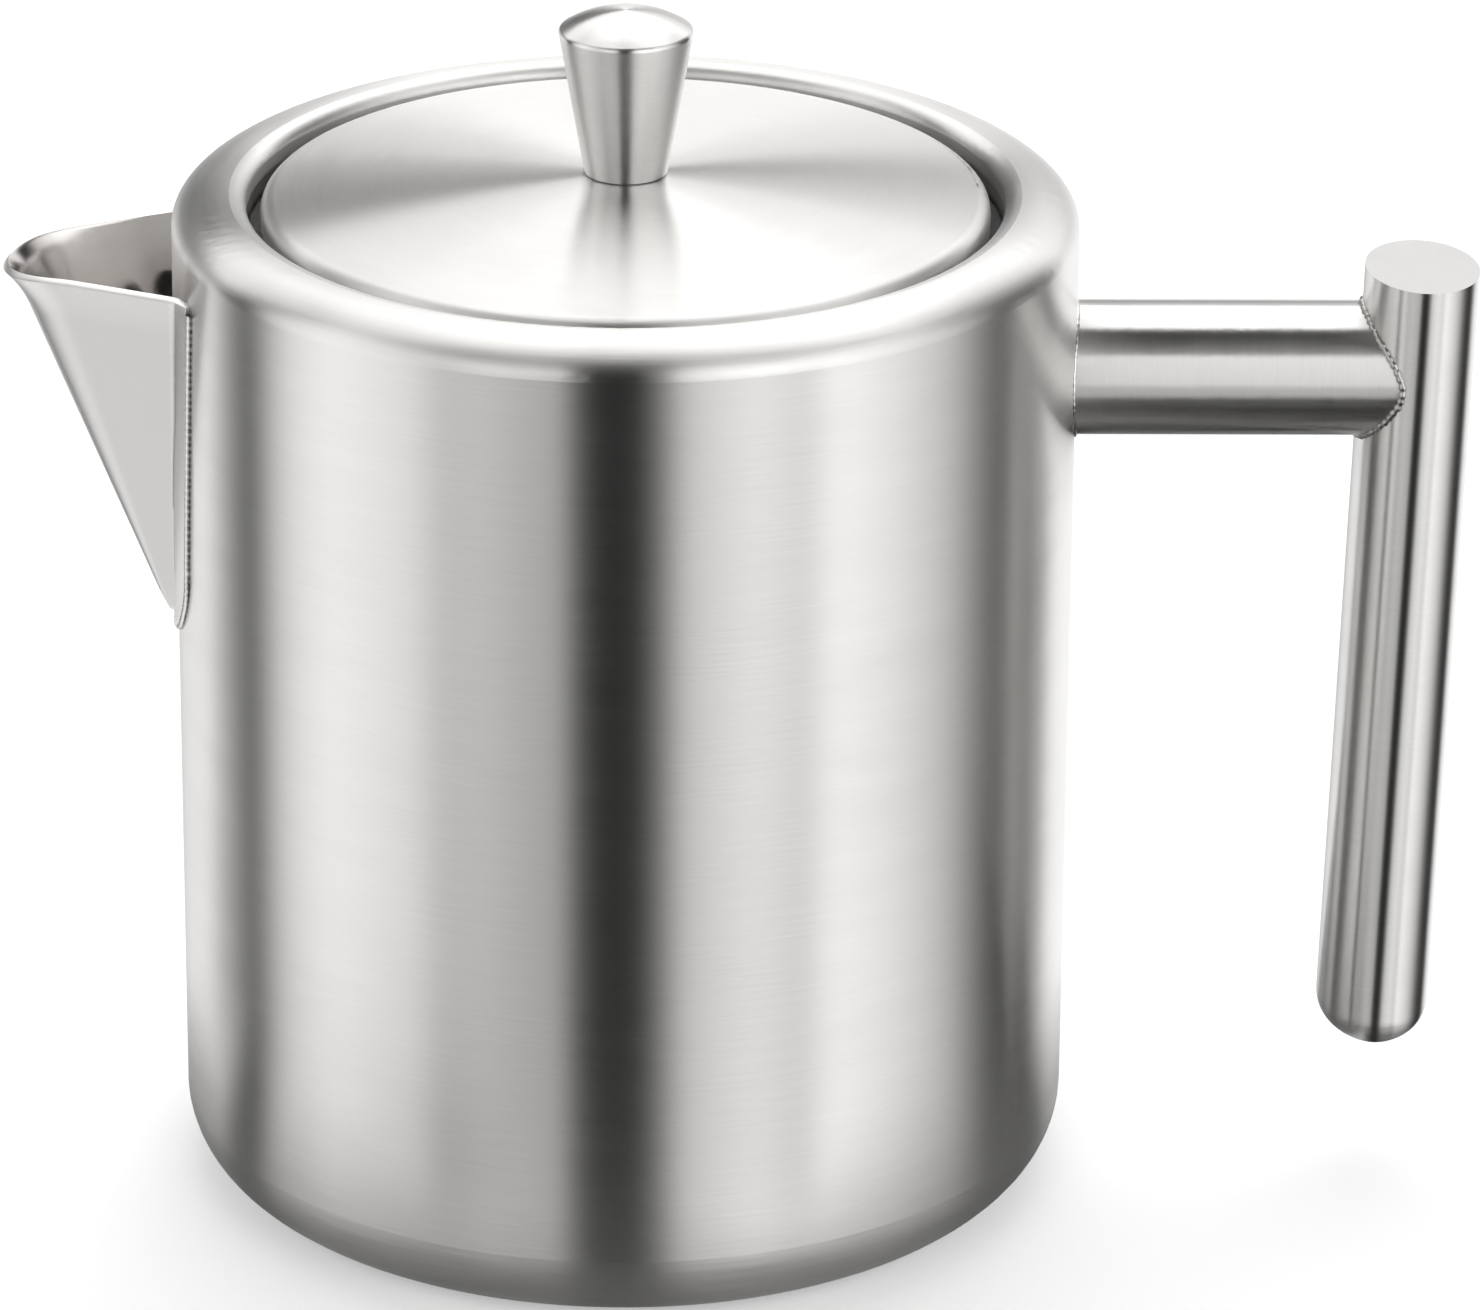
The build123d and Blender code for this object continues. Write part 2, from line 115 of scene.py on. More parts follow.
def remap(tree, value, low, high):
    """Spreads a 0..1 value over low..high."""
    node = tree.nodes.new("ShaderNodeMapRange")
    node.inputs["To Min"].default_value = low
    node.inputs["To Max"].default_value = high
    tree.links.new(value, node.inputs["Value"])
    return node.outputs["Result"]


def fade(tree, value, start, end, rising=True):
    """Smooth step from 0 to 1 between two values, or from 1 to 0."""
    node = tree.nodes.new("ShaderNodeMapRange")
    node.interpolation_type = "SMOOTHSTEP"
    node.inputs["From Min"].default_value = start
    node.inputs["From Max"].default_value = end
    node.inputs["To Min"].default_value = 0.0 if rising else 1.0
    node.inputs["To Max"].default_value = 1.0 if rising else 0.0
    tree.links.new(value, node.inputs["Value"])
    return node.outputs["Result"]


def tint(tree, value, color, low, high):
    """Blends between a darker and a lighter shade of a colour by a 0..1 value."""
    ramp = tree.nodes.new("ShaderNodeValToRGB")
    ramp.color_ramp.elements[0].color = (*(c * low for c in color), 1)
    ramp.color_ramp.elements[1].color = (*(min(1.0, c * high) for c in color), 1)
    tree.links.new(value, ramp.inputs["Fac"])
    return ramp.outputs["Color"]


def add_bump(tree, shader, height, strength, depth):
    """Fine relief on a shader from a 0..1 value."""
    bump = tree.nodes.new("ShaderNodeBump")
    bump.inputs["Strength"].default_value = strength
    bump.inputs["Distance"].default_value = depth
    tree.links.new(height, bump.inputs["Height"])
    tree.links.new(bump.outputs[0], shader.inputs["Normal"])


def even_noise(tree, scale, detail):
    """Noise without a direction, fixed to the piece."""
    place = tree.nodes.new("ShaderNodeTexCoord").outputs["Object"]
    noise = tree.nodes.new("ShaderNodeTexNoise")
    noise.inputs["Scale"].default_value = scale
    noise.inputs["Detail"].default_value = detail
    tree.links.new(place, noise.inputs["Vector"])
    return noise.outputs["Fac"]


AXIS_ORDER = {"X": (1, 2, 0), "Z": (0, 1, 2)}      # the two directions across an axis, and the one along it


def turned_noise(tree, axis, centre, across, around, detail=2.0, rings=True):
    """Noise drawn out into lines that run round an axis: `across` lines a metre, `around` cells a radian."""
    place = tree.nodes.new("ShaderNodeTexCoord").outputs["Object"]
    shifted = tree.nodes.new("ShaderNodeVectorMath")
    shifted.operation = "SUBTRACT"
    shifted.inputs[1].default_value = centre
    tree.links.new(place, shifted.inputs[0])
    split = tree.nodes.new("ShaderNodeSeparateXYZ")
    tree.links.new(shifted.outputs[0], split.inputs[0])
    first, second, along = [split.outputs[i] for i in AXIS_ORDER[axis]]
    square = math_node(tree, "MULTIPLY", first, first)
    square = math_node(tree, "ADD", square, math_node(tree, "MULTIPLY", second, second))
    radius = math_node(tree, "SQRT", square)
    join = tree.nodes.new("ShaderNodeCombineXYZ")
    for index, part in enumerate((first, second)):
        share = math_node(tree, "DIVIDE", part, radius)
        tree.links.new(math_node(tree, "MULTIPLY", share, around), join.inputs[index])
    tree.links.new(math_node(tree, "MULTIPLY", along, across), join.inputs[2])
    noise = tree.nodes.new("ShaderNodeTexNoise")
    noise.noise_dimensions = "4D"
    noise.inputs["Scale"].default_value = 1.0
    noise.inputs["Detail"].default_value = detail
    tree.links.new(join.outputs[0], noise.inputs["Vector"])
    if rings:
        tree.links.new(math_node(tree, "MULTIPLY", radius, across), noise.inputs["W"])
    return noise.outputs["Fac"]


BRUSH_COLOR = (0.74, 0.73, 0.715)
BRUSH_LINES = 2600.0            # fine lines in a metre
BRUSH_COARSE = 9                # how many fine lines one coarse line is wide
BRUSH_SHADES = (0.94, 1.05)     # darkest and lightest share of the colour
BRUSH_SPREAD = 0.07             # how far the roughness varies
BRUSH_BUMP = (0.5, 0.022 * MM)  # strength and depth of the relief
GRAIN_SHADES = (0.92, 1.05)     # the same for plain steel
GRAIN_SPREAD = 0.05
GRAIN_BUMP = (0.08, 0.02 * MM)
MOULD_SHADES = (0.8, 1.2)       # and for moulded pieces
MOULD_SPREAD = 0.06
TOP_FACES = (0.6, 0.9)          # upward share of a normal over which a face comes to count as a top and gets the painted shade
TOP_PAINTED_SHADE = 0.76                # share of the colour that a top keeps, a painted shade that darkens the upward faces


def brushed_steel(name, axis, centre=(0, 0, 0), roughness=0.34, anisotropy=0.95, around=6.0, rings=True):
    """Satin steel with fine lines round an axis, which draw its reflections out across the lines."""
    material, tree, shader = new_material(name)
    fine = turned_noise(tree, axis, centre, BRUSH_LINES, around, 3.0, rings)
    coarse = turned_noise(tree, axis, centre, BRUSH_LINES / BRUSH_COARSE, around / 2, 2.0, rings)
    tree.links.new(tint(tree, fine, BRUSH_COLOR, *BRUSH_SHADES), shader.inputs["Base Color"])
    grade = math_node(tree, "MULTIPLY", fine, 0.5)
    grade = math_node(tree, "ADD", grade, math_node(tree, "MULTIPLY", coarse, 0.5))
    grade = remap(tree, grade, roughness - BRUSH_SPREAD, roughness + BRUSH_SPREAD)
    tree.links.new(grade, shader.inputs["Roughness"])
    shader.inputs["Metallic"].default_value = 1.0
    shader.inputs["Anisotropic"].default_value = anisotropy
    shader.inputs["Anisotropic Rotation"].default_value = 0.25
    tangent = tree.nodes.new("ShaderNodeTangent")
    tangent.direction_type = "RADIAL"
    tangent.axis = axis
    tree.links.new(tangent.outputs[0], shader.inputs["Tangent"])
    add_bump(tree, shader, fine, *BRUSH_BUMP)
    return material


def capped_steel(material):
    """Takes the drawn-out reflections off the faces that look up, and darkens their colour a little as
    painted shade.
    """
    tree = material.node_tree
    shader = tree.nodes["Principled BSDF"]
    split = tree.nodes.new("ShaderNodeSeparateXYZ")
    tree.links.new(tree.nodes.new("ShaderNodeTexCoord").outputs["Normal"], split.inputs[0])
    top = fade(tree, split.outputs[2], *TOP_FACES)
    tree.links.new(math_node(tree, "SUBTRACT", 1.0, top), shader.inputs["Anisotropic"])
    hue = shader.inputs["Base Color"].links[0].from_socket
    # painted shade: the colour is scaled down on the faces that look up
    shade = tree.nodes.new("ShaderNodeVectorMath")
    shade.operation = "SCALE"
    tree.links.new(hue, shade.inputs[0])
    tree.links.new(remap(tree, top, 1.0, TOP_PAINTED_SHADE), shade.inputs["Scale"])
    tree.links.new(shade.outputs[0], shader.inputs["Base Color"])
    return material


def plain_steel(name, color=(0.70, 0.69, 0.675), roughness=0.30, grain=900.0):
    """Sheet or turned steel with a fine even grain."""
    material, tree, shader = new_material(name)
    noise = even_noise(tree, grain, 3.0)
    tree.links.new(tint(tree, noise, color, *GRAIN_SHADES), shader.inputs["Base Color"])
    grade = remap(tree, noise, roughness - GRAIN_SPREAD, roughness + GRAIN_SPREAD)
    tree.links.new(grade, shader.inputs["Roughness"])
    shader.inputs["Metallic"].default_value = 1.0
    add_bump(tree, shader, noise, *GRAIN_BUMP)
    return material


def moulded(name, color, roughness, grain=1400.0):
    """Matt silicone or plastic with a fine texture."""
    material, tree, shader = new_material(name)
    noise = even_noise(tree, grain, 2.0)
    tree.links.new(tint(tree, noise, color, *MOULD_SHADES), shader.inputs["Base Color"])
    grade = remap(tree, noise, roughness - MOULD_SPREAD, roughness + MOULD_SPREAD)
    tree.links.new(grade, shader.inputs["Roughness"])
    return material


# ------------------------------------------------------------------ stage
# Brightness of the cards around the pot: degrees from the camera's side, turning to the handle's side.
CARDS = (
    (-180, 0.80), (-169, 0.45), (-154, 0.95), (-125, 1.00), (-116, 0.12), (-107, 0.04), (-98, 0.80),
    (-80, 1.08), (-55, 0.86), (-32, 0.49), (-17, 0.38), (-13, 0.00), (3, 0.00), (9, 0.24), (16, 0.68),
    (32, 1.12), (52, 1.38), (70, 1.08), (90, 0.66), (104, 0.14), (117, 0.01), (129, 0.04), (134, 0.65),
    (140, 1.05), (156, 1.00), (170, 0.95), (180, 0.80),
)
# Heights and sides below are parts of the direction's unit vector.
CARD_LOW = (-0.72, -0.55)       # heights over which the cards fade in above the ground
CARD_HIGH = (0.70, 0.78)        # heights over which they fade out again
# The ceiling light, by its lean in degrees from straight up towards the back.
CEILING_FRONT = (4.0, 10.0)     # fades in
CEILING_BACK = (60.0, 67.0)     # fades out
CEILING_SIDE = (0.20, 0.80)     # fades out to both sides
CEILING_LEVEL = 1.9
CEILING_LEFT = (0.0, 0.5)       # over this stretch it loses light on the spout's side
CEILING_LEFT_LOSS = 0.35
# Darker zones: degrees up from the camera's side and over the top, reach to both sides, and how dark.
DARK_ZONES = (
    ((47.0, 56.0, 96.0, 102.0), (0.45, 0.62), 1.0),
    ((-150.0, -140.0, -38.0, -28.0), (0.62, 0.75), 1.0),
    ((160.0, 172.0, 188.0, 198.0), (0.55, 0.85), 0.45),
)
# Brighter cards above the horizon, beside the gap at the camera.
GLOW_PITCH = (-18.0, -2.0, 44.0, 50.0)
GLOW_SIDE = (0.13, 0.26, 0.50, 0.75)
GLOW_LEVEL = 0.60
# A gap between the ceiling and the backdrop, on the spout's side only.
BACK_GAP = (149.0, 153.0, 174.0, 192.0)
BACK_GAP_SIDE = (-0.06, 0.05)
BACK_GAP_DEPTH = 0.80
# A pale table lights the pot from below, on the spout's side.
TABLE_LEFT = (0.10, 0.50)
TABLE_TURN = 0.3                # how far that side turns towards the back
TABLE_LEVEL = 1.0
GROUND_LEVEL = 0.02
STUDIO_STRENGTH = 1.25

FLOOR_RADIUS = 8.0
FLOOR_GREY = 0.97
FLOOR_GLOW = 0.30
SHADE_RADIUS = 85.0 * MM
SHADE_GREY = 0.18
SHADE_Z = -1.0 * MM
DISC_SEGMENTS = 96


def band(tree, value, limits):
    """1 between the middle two of four limits, smoothly down to 0 at the outer two."""
    rise = fade(tree, value, *limits[:2])
    return math_node(tree, "MULTIPLY", rise, fade(tree, value, *limits[2:], rising=False))


def degree_band(tree, value, limits):
    """The same for an angle, with its limits in degrees."""
    return band(tree, value, [math.radians(limit) for limit in limits])


def darkened(tree, level, share):
    """A level without a share of itself."""
    return math_node(tree, "MULTIPLY", level, math_node(tree, "SUBTRACT", 1.0, share))


def make_studio():
    """Soft light cards round the pot with a dark gap at the camera, a backdrop and a ceiling light behind."""
    world = bpy.data.worlds.new("studio")
    bpy.context.scene.world = world
    world.use_nodes = True
    tree = world.node_tree
    direction = tree.nodes.new("ShaderNodeTexCoord").outputs["Generated"]
    split = tree.nodes.new("ShaderNodeSeparateXYZ")
    tree.links.new(direction, split.inputs[0])
    side, back, up = split.outputs
    turn = tree.nodes.new("ShaderNodeMapRange")
    turn.inputs["From Min"].default_value = -math.pi
    turn.inputs["From Max"].default_value = math.pi
    front = math_node(tree, "MULTIPLY", back, -1.0)
    tree.links.new(math_node(tree, "ARCTAN2", side, front), turn.inputs["Value"])
    ramp = tree.nodes.new("ShaderNodeValToRGB")
    elements = ramp.color_ramp.elements
    while len(elements) < len(CARDS):
        elements.new(0.5)
    for element, (degrees, level) in zip(elements, CARDS):
        element.position = (degrees + 180) / 360
        element.color = (level, level, level, 1)
    tree.links.new(turn.outputs["Result"], ramp.inputs["Fac"])
    cards = math_node(tree, "MULTIPLY", ramp.outputs["Color"], fade(tree, up, *CARD_LOW))
    cards = math_node(tree, "MULTIPLY", cards, fade(tree, up, *CARD_HIGH, rising=False))
    pitch = math_node(tree, "ARCTAN2", up, front)
    aside = math_node(tree, "ABSOLUTE", side)
    glow = degree_band(tree, pitch, GLOW_PITCH)
    glow = math_node(tree, "MULTIPLY", glow, band(tree, aside, GLOW_SIDE))
    cards = math_node(tree, "ADD", cards, math_node(tree, "MULTIPLY", glow, GLOW_LEVEL))
    for limits, reach, strength in DARK_ZONES:
        zone = degree_band(tree, pitch, limits)
        zone = math_node(tree, "MULTIPLY", zone, fade(tree, aside, *reach, rising=False))
        cards = darkened(tree, cards, math_node(tree, "MULTIPLY", zone, strength))
    gap = degree_band(tree, pitch, BACK_GAP)
    gap = math_node(tree, "MULTIPLY", gap, fade(tree, side, *BACK_GAP_SIDE, rising=False))
    cards = darkened(tree, cards, math_node(tree, "MULTIPLY", gap, BACK_GAP_DEPTH))
    lean = math_node(tree, "ARCTAN2", back, up)
    ceiling = degree_band(tree, lean, CEILING_FRONT + CEILING_BACK)
    ceiling = math_node(tree, "MULTIPLY", ceiling, fade(tree, aside, *CEILING_SIDE, rising=False))
    left = fade(tree, math_node(tree, "MULTIPLY", side, -1.0), *CEILING_LEFT)
    ceiling = darkened(tree, ceiling, math_node(tree, "MULTIPLY", left, CEILING_LEFT_LOSS))
    level = math_node(tree, "MAXIMUM", cards, math_node(tree, "MULTIPLY", ceiling, CEILING_LEVEL))
    table = math_node(tree, "SUBTRACT", math_node(tree, "MULTIPLY", back, TABLE_TURN), side)
    table = fade(tree, table, *TABLE_LEFT)
    table = math_node(tree, "MULTIPLY", table, fade(tree, up, *CARD_LOW, rising=False))
    level = math_node(tree, "MAXIMUM", level, math_node(tree, "MULTIPLY", table, TABLE_LEVEL))
    level = math_node(tree, "MAXIMUM", level, GROUND_LEVEL)
    background = tree.nodes["Background"]
    background.inputs["Strength"].default_value = STUDIO_STRENGTH
    tree.links.new(level, background.inputs["Color"])


def flat_disc(name, radius, grey, roughness):
    """Round matt disc on the ground, as (object, shader)."""
    mesh = bpy.data.meshes.new(name)
    build = bmesh.new()
    bmesh.ops.create_circle(build, cap_ends=True, radius=radius, segments=DISC_SEGMENTS)
    build.to_mesh(mesh)
    build.free()
    disc = bpy.data.objects.new(name, mesh)
    bpy.context.scene.collection.objects.link(disc)
    material, _, shader = new_material(name)
    shader.inputs["Base Color"].default_value = (grey, grey, grey, 1)
    shader.inputs["Roughness"].default_value = roughness
    shader.inputs["Specular IOR Level"].default_value = 0.0
    mesh.materials.append(material)
    return disc, shader


def make_floor():
    """Pale round floor that glows a little and isn't seen in reflections."""
    floor, shader = flat_disc("floor", FLOOR_RADIUS, FLOOR_GREY, 0.9)
    shader.inputs["Emission Color"].default_value = (1, 1, 1, 1)
    shader.inputs["Emission Strength"].default_value = FLOOR_GLOW
    floor.visible_glossy = False


def make_foot_shade():
    """Dark disc under the pot that only reflections see: the pot's own shade on the table."""
    shade, _ = flat_disc("foot_shade", SHADE_RADIUS, SHADE_GREY, 1.0)
    shade.location.z = SHADE_Z
    shade.visible_camera = False
    shade.visible_diffuse = False
    shade.visible_shadow = False


# ------------------------------------------------------------------ mesh helpers
def grid_mesh(name, rows, closed_across=False, closed_along=False):
    """Smooth quad mesh through rows of points; each way it is open, or closes on itself."""
    mesh = bpy.data.meshes.new(name)
    count = len(rows[0])
    faces = []
    for i in range(len(rows) if closed_along else len(rows) - 1):
        for j in range(count if closed_across else count - 1):
            below, above, right = i * count, (i + 1) % len(rows) * count, (j + 1) % count
            faces.append((below + j, below + right, above + right, above + j))
    mesh.from_pydata([p for row in rows for p in row], [], faces)
    mesh.validate()
    mesh.shade_smooth()
    return mesh


def add_piece(name, mesh, body, slot, material, *nodes):
    """Puts a mesh in the scene on its body, in place of CAD nodes."""
    piece = bpy.data.objects.new(name, mesh)
    bpy.context.scene.collection.objects.link(piece)
    mesh.materials.append(material)
    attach(piece, body)
    if nodes:
        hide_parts(*nodes)
    return piece


def ring_points(centre, across, lift, radius, sides):
    """Points of a circle round a centre, in the plane of two unit vectors."""
    angles = [math.tau * k / sides for k in range(sides)]
    return [centre + radius * (math.cos(angle) * across + math.sin(angle) * lift) for angle in angles]


BEAD_WAVES = (0.95, 1.45, 2.6)  # pitches of a bead's swelling, sideways and outward waver, in mm
BEAD_SIDES = 10
BEAD_SHIFT = 0.5                # how much it wavers, as a share of how much it swells


def weld_bead(name, path, radius, seed, ripple, closed=True):
    """Rippled bead along a path; its radius and place waver as a hand weld's do."""
    chance = random.Random(seed)
    waves = [(pitch * MM, chance.uniform(0, math.tau)) for pitch in BEAD_WAVES]
    points = [Vector(p) for p in path]
    rows = []
    run = 0.0
    for i, point in enumerate(points):
        before = points[i - 1] if i or closed else point
        after = points[(i + 1) % len(points)] if i + 1 < len(points) or closed else point
        along = (after - before).normalized()
        across = along.cross(Vector((point.x, point.y, 0))).normalized()
        lift = along.cross(across)
        run += (point - before).length if i else 0.0
        swell, shift, rise = [math.sin(math.tau * run / pitch + phase) for pitch, phase in waves]
        centre = point + (across * shift + lift * rise) * radius * ripple * BEAD_SHIFT
        rows.append(ring_points(centre, across, lift, radius * (1 + ripple * swell), BEAD_SIDES))
    return grid_mesh(name, rows, closed_across=True, closed_along=closed)


# ------------------------------------------------------------------ materials of the CAD nodes
ARM_CENTRE = (0.0, 0.0, ARM_Z)
GRIP_CENTRE = (GRIP_X, 0.0, ARM_Z)

body_steel = brushed_steel("body_steel", "Z", roughness=0.31, anisotropy=1.0)
lid_steel = brushed_steel("lid_steel", "Z", roughness=0.34, anisotropy=1.0)
knob_steel = brushed_steel("knob_steel", "Z", roughness=0.30)
arm_steel = brushed_steel("arm_steel", "X", ARM_CENTRE, 0.33, 1.0, around=2.0, rings=False)
grip_steel = brushed_steel("grip_steel", "Z", GRIP_CENTRE, 0.31, 1.0, around=2.0, rings=False)
# the grip's top cap, with painted shade darkening its upward faces
cap_steel = capped_steel(brushed_steel("cap_steel", "Z", GRIP_CENTRE, 0.31, 1.0, around=2.0, rings=False))
spout_steel = plain_steel("spout_steel", roughness=0.36)
spout_inner = plain_steel("spout_inner", color=(0.60, 0.575, 0.56), roughness=0.19)
vessel_steel = plain_steel("vessel_steel", roughness=0.34)
weld_steel = plain_steel("weld_steel", roughness=0.28)
rough_weld = plain_steel("rough_weld", color=(0.50, 0.48, 0.46), roughness=0.34, grain=2200.0)
bright_steel = plain_steel("bright_steel", roughness=0.12)
silicone = moulded("silicone", (0.02, 0.02, 0.02), 0.6)
guide_plastic = moulded("guide_plastic", (0.05, 0.05, 0.05), 0.5)

FINISHES = {
    body_steel: ["outer_shell", "base_disc"],
    lid_steel: ["lid_top"],
    knob_steel: ["knob"],
    arm_steel: ["handle_arm"],
    grip_steel: ["grip_tube", "grip_bottom_cap"],
    cap_steel: ["grip_top_cap"],
    spout_steel: ["spout"],
    vessel_steel: ["inner_vessel", "spout_port", "handle_backing", "lid_base", "filter_cover",
                   "filter_spring", "filter_mesh", "cross_plate"],
    weld_steel: ["rim_weld", "spout_weld", "arm_body_weld", "arm_grip_weld"],
    bright_steel: ["plunger_rod", "filter_hub", "filter_nut", "guide_nut"],
    silicone: ["lid_seal"],
    guide_plastic: ["rod_guide"],
}

# ------------------------------------------------------------------ spout
SPOUT_FLARE_Z = 113.5 * MM      # where the drip lip starts to flare
SPOUT_LIP_FLARE = 0.8 * MM
SPOUT_LIP_DROOP = 1.2 * MM      # how much lower the lip is at the nose
DROOP_START = 66.0 * MM         # distance from the pot's axis where it starts to droop
DROOP_RUN = 9.4 * MM            # and how much farther out it has drooped in full
SPOUT_NOSE_OUT = 0.45 * MM      # the nose line stands out by this much once clear of its foot
NOSE_OUT_RUN = 5.0 * MM         # height over which it comes out
FLANGE_BOTTOM_Z = 72.0 * MM
FLANGE_ROUNDING = 2.2           # power of the curve of its rounded foot
FOLD_LOW_X = 55.4 * MM          # the side panels fold into the flange this far from the axis, at its foot
FOLD_TOP_X = 54.0 * MM          # and at the lip
FOLD_START = 0.6 * MM           # below this nose depth the sheet lies flat on the wall
PANEL_MIN = 0.2 * MM            # least depth of a side panel
STRIP_MIN = 0.1 * MM            # least width of the flange beside it
FOLD_STEP = 0.02 * MM           # the fold moves out by this until it is clear of the wall
NOSE_STEPS = 14
PANEL_STEPS = 20
STRIP_STEPS = 14
SPOUT_ROWS = 110
FOOT_LIFT = 0.05 * MM           # the lowest row is this far above the flange's foot, so that it has a width
SOLIDIFY_SIDE = -1.0            # the sheet's thickness goes inwards
EDGE_ROUND = 0.22 * MM
SEAM_R = 0.75 * MM              # bead along the flange
SEAM_OUT = 0.3 * MM             # how far beside the flange it runs
SEAM_SINK = -0.10 * MM          # its middle line lies this far out from the wall, so just inside it
SEAM_TOP_GAP = 0.8 * MM         # how far below the lip it ends
SEAM_STEPS = 240


def wall_point(y, z, out=0.0):
    """The point on the pot's wall, on the spout's side, at that Y and Z."""
    return (-math.sqrt((BODY_R + out) ** 2 - y * y), y, z)


def flange_half(z):
    """Half the width of the flange at a height: straight sides over a rounded foot."""
    if z >= FLANGE_LOW_Z:
        share = (z - FLANGE_LOW_Z) / (SPOUT_TOP_Z - FLANGE_LOW_Z)
        return FLANGE_LOW_HALF + share * (FLANGE_TOP_HALF - FLANGE_LOW_HALF)
    share = (FLANGE_LOW_Z - z) / (FLANGE_LOW_Z - FLANGE_BOTTOM_Z)
    return FLANGE_LOW_HALF * math.sqrt(max(0.0, 1 - share ** FLANGE_ROUNDING))


def lip_share(z):
    """0 below the drip lip, 1 at its top."""
    return max(0.0, (z - SPOUT_FLARE_Z) / (SPOUT_TOP_Z - SPOUT_FLARE_Z))


def half_skin(z):
    """One side of the spout's outside at a height: round the nose, along the panel, out to the flange."""
    height = max(z - SPOUT_APEX_Z, 0.0)
    out = SPOUT_NOSE_OUT * min(1.0, height / NOSE_OUT_RUN) + SPOUT_LIP_FLARE * lip_share(z) ** 2
    radius = SPOUT_NOSE_RATE * height
    centre_x = radius - BODY_R - SPOUT_SLOPE * height - out
    hug = BODY_R + FLANGE_T
    edge_y = flange_half(z)
    turn = math.pi / 2 - SPOUT_HALF_ANGLE
    spread = math.tan(SPOUT_HALF_ANGLE)
    share = (z - FLANGE_BOTTOM_Z) / (SPOUT_TOP_Z - FLANGE_BOTTOM_Z)
    fold_at = -FOLD_LOW_X - share * (FOLD_TOP_X - FOLD_LOW_X)
    if centre_x - radius > fold_at - FOLD_START:
        count = NOSE_STEPS + PANEL_STEPS
        reach = min(FOLD_START, edge_y)
        start = [wall_point(reach * i / count, z, FLANGE_T)[:2] for i in range(count + 1)]
    else:
        angles = [turn * i / NOSE_STEPS for i in range(NOSE_STEPS + 1)]
        nose = [(centre_x - radius * math.cos(angle), radius * math.sin(angle)) for angle in angles]
        touch_x, touch_y = nose[-1]
        fold_x = max(fold_at, touch_x + PANEL_MIN)
        while math.hypot(fold_x, touch_y + (fold_x - touch_x) * spread) < hug:
            fold_x -= FOLD_STEP
        runs = [(fold_x - touch_x) * i / PANEL_STEPS for i in range(1, PANEL_STEPS + 1)]
        start = nose + [(touch_x + run, touch_y + run * spread) for run in runs]
    fold = start[-1]
    edge = wall_point(max(edge_y, fold[1] + STRIP_MIN), z, FLANGE_T)
    strip = []
    for i in range(1, STRIP_STEPS + 1):
        share = i / STRIP_STEPS
        x, y = fold[0] + share * (edge[0] - fold[0]), fold[1] + share * (edge[1] - fold[1])
        push = max(1.0, hug / math.hypot(x, y))
        strip.append((x * push, y * push))
    return start + strip


def spout_skin():
    """Outside of the folded sheet, in rows from the flange's foot to the lip, which droops at the nose."""
    rows = []
    foot = FLANGE_BOTTOM_Z + FOOT_LIFT
    for i in range(SPOUT_ROWS + 1):
        z = foot + (SPOUT_TOP_Z - foot) * i / SPOUT_ROWS
        side = []
        for x, y in half_skin(z):
            reach = max(0.0, (-x - DROOP_START) / DROOP_RUN)
            side.append((x, y, z - SPOUT_LIP_DROOP * lip_share(z) * reach ** 2))
        rows.append(list(reversed(side)) + [(x, -y, z) for x, y, z in side[1:]])
    return grid_mesh("spout_skin", rows)


def spaced(points, count):
    """The same open line with evenly spaced points."""
    lengths = [0.0]
    for a, b in zip(points, points[1:]):
        lengths.append(lengths[-1] + math.dist(a, b))
    found = []
    index = 0
    for i in range(count):
        target = lengths[-1] * i / (count - 1)
        while index < len(points) - 2 and lengths[index + 1] < target:
            index += 1
        span = lengths[index + 1] - lengths[index]
        share = (target - lengths[index]) / span if span else 0.0
        a, b = points[index], points[index + 1]
        found.append(tuple(a[k] + share * (b[k] - a[k]) for k in range(len(a))))
    return found


def make_spout():
    """The folded spout in sheet of even thickness, and the bead along its flange."""
    skin = add_piece("spout_sheet", spout_skin(), "pot", "spout_steel", spout_steel, "spout")
    skin.data.materials.append(spout_inner)
    thick = skin.modifiers.new("sheet", "SOLIDIFY")
    thick.thickness = SPOUT_SHEET
    thick.offset = SOLIDIFY_SIDE
    thick.use_even_offset = True
    thick.material_offset = 1
    thick.material_offset_rim = 0
    soft = skin.modifiers.new("edges", "BEVEL")
    soft.width = EDGE_ROUND
    soft.segments = 2
    soft.angle_limit = math.radians(60)
    edge = []
    for i in range(SEAM_STEPS + 1):
        share = 2 * i / SEAM_STEPS - 1
        z = FLANGE_BOTTOM_Z + (SPOUT_TOP_Z - SEAM_TOP_GAP - FLANGE_BOTTOM_Z) * share ** 2
        y = math.copysign(flange_half(z) + SEAM_OUT, share) if share else 0.0
        edge.append(wall_point(y, z, SEAM_SINK))
    bead = weld_bead("spout_seam", spaced(edge, 3 * SEAM_STEPS), SEAM_R, seed=11, ripple=0.02, closed=False)
    add_piece("spout_seam", bead, "pot", "weld_steel", weld_steel, "spout_weld")


# ------------------------------------------------------------------ handle seams
POT_SEAM_R = 0.30 * MM
GRIP_SEAM_R = 0.42 * MM
POT_SEAM_STEPS = 180
GRIP_SEAM_STEPS = 220


def arm_ring(steps):
    """Points round the handle arm's oval, as (Y, Z)."""
    for i in range(steps):
        angle = math.tau * i / steps
        yield ARM_HALF_Y * math.cos(angle), ARM_Z + ARM_HALF_Z * math.sin(angle)


def grip_side(y, z):
    """X of the grip's surface that faces the pot, at that Y and Z."""
    across = -GRIP_HALF_X * math.sqrt(max(0.0, 1 - (y / GRIP_HALF_Y) ** 2))
    along = (z - ARM_Z + across * math.sin(GRIP_LEAN)) / math.cos(GRIP_LEAN)
    return GRIP_X + across * math.cos(GRIP_LEAN) + along * math.sin(GRIP_LEAN)


